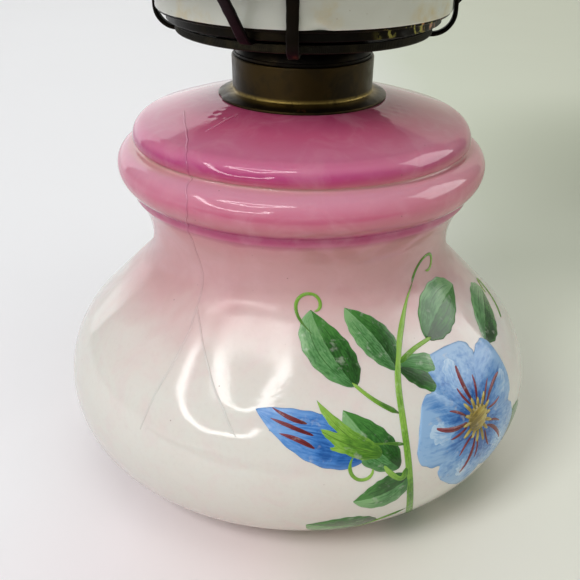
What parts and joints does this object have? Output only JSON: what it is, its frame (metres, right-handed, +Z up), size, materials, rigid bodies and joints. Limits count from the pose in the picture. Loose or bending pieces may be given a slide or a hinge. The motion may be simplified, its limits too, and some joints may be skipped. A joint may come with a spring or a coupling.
{
  "type": "oil lamp",
  "caption": "Table oil lamp: squat ribbed glass font, brass collar, pierced flat-wick burner with spring prongs, lift-off tripod, opal chimney and ball shade.",
  "frame": {"origin": "on the table, at the centre of the foot", "axes": "+Z up along the lamp's axis, -Y towards the painted side, +Y towards the thumb wheel that raises the wick"},
  "size_m": [0.152, 0.152, 0.3382],
  "materials": {
    "cased_glass": "opaque cased glass, magenta-pink at the ribs fading to warm white, glossy, painted flowers",
    "collar_brass": "aged brass with a greenish patina",
    "plaster": "set plaster, matt",
    "burner_brass": "aged brass, nearly black",
    "saucer_brass": "aged brass, milled rim",
    "gallery_brass": "dark brass, worn to yellow in places",
    "cone_brass": "heat-stained brass",
    "spring_brass": "dark brass with rusty and coppery mottling",
    "tripod_brass": "dark aged brass",
    "rivet_brass": "aged brass",
    "shaft_steel": "dull steel wire",
    "wheel_brass": "punched brass",
    "knob_brass": "aged brass, fluted rim",
    "wick_cotton": "woven cotton tape",
    "opal_glass": "opal white glass, glossy",
    "shade_glass": "opal white glass, glossy"
  },
  "bodies": {
    "base": {"font_glass": "cased_glass", "collar": "collar_brass", "collar_plaster": "plaster"},
    "burner": {"burner_cup": "burner_brass", "burner_dome": "burner_brass", "air_saucer": "saucer_brass", "air_drum": "burner_brass", "gallery_plate": "gallery_brass", "gallery_ring": "gallery_brass", "flame_cone": "cone_brass", "wick_tube": "burner_brass", "shaft_bearing_front": "burner_brass", "shaft_bearing_back": "burner_brass", "shaft_bush": "burner_brass", "prong_right": "spring_brass", "prong_back": "spring_brass", "prong_left": "spring_brass", "prong_front": "spring_brass", "prong_rivets": "rivet_brass", "shade_arm_right": "tripod_brass", "shade_arm_back": "tripod_brass", "shade_arm_front": "tripod_brass", "shade_ring": "tripod_brass", "arm_rivets": "rivet_brass"},
    "wick_works": {"wick_shaft": "shaft_steel", "spur_wheel_front": "wheel_brass", "spur_wheel_back": "wheel_brass", "wick_knob": "knob_brass"},
    "wick": {"wick": "wick_cotton"},
    "chimney": {"chimney": "opal_glass"},
    "shade": {"ball_shade": "shade_glass"}
  },
  "joints": [
    {"name": "burner_lift", "type": "slide", "parent": "base", "child": "burner", "axis": [0, 0, 1], "range_m": [0, 0.1]},
    {"name": "wick_turn", "type": "hinge", "parent": "burner", "child": "wick_works", "pos_m": [0.0065, 0, 0.115], "axis": [0, 1, 0], "range_deg": [-60, 95]},
    {"name": "wick_rise", "type": "slide", "parent": "burner", "child": "wick", "axis": [0, 0, 1], "range_m": [-0.0051, 0.008]},
    {"name": "chimney_lift", "type": "slide", "parent": "burner", "child": "chimney", "axis": [0, 0, 1], "range_m": [0, 0.05]},
    {"name": "shade_lift", "type": "slide", "parent": "burner", "child": "shade", "axis": [0, 0, 1], "range_m": [0, 0.2]}
  ],
  "couplings": [
    {"joint": "wick_rise", "follows": "wick_turn", "m_per_rad": 0.0048}
  ]
}
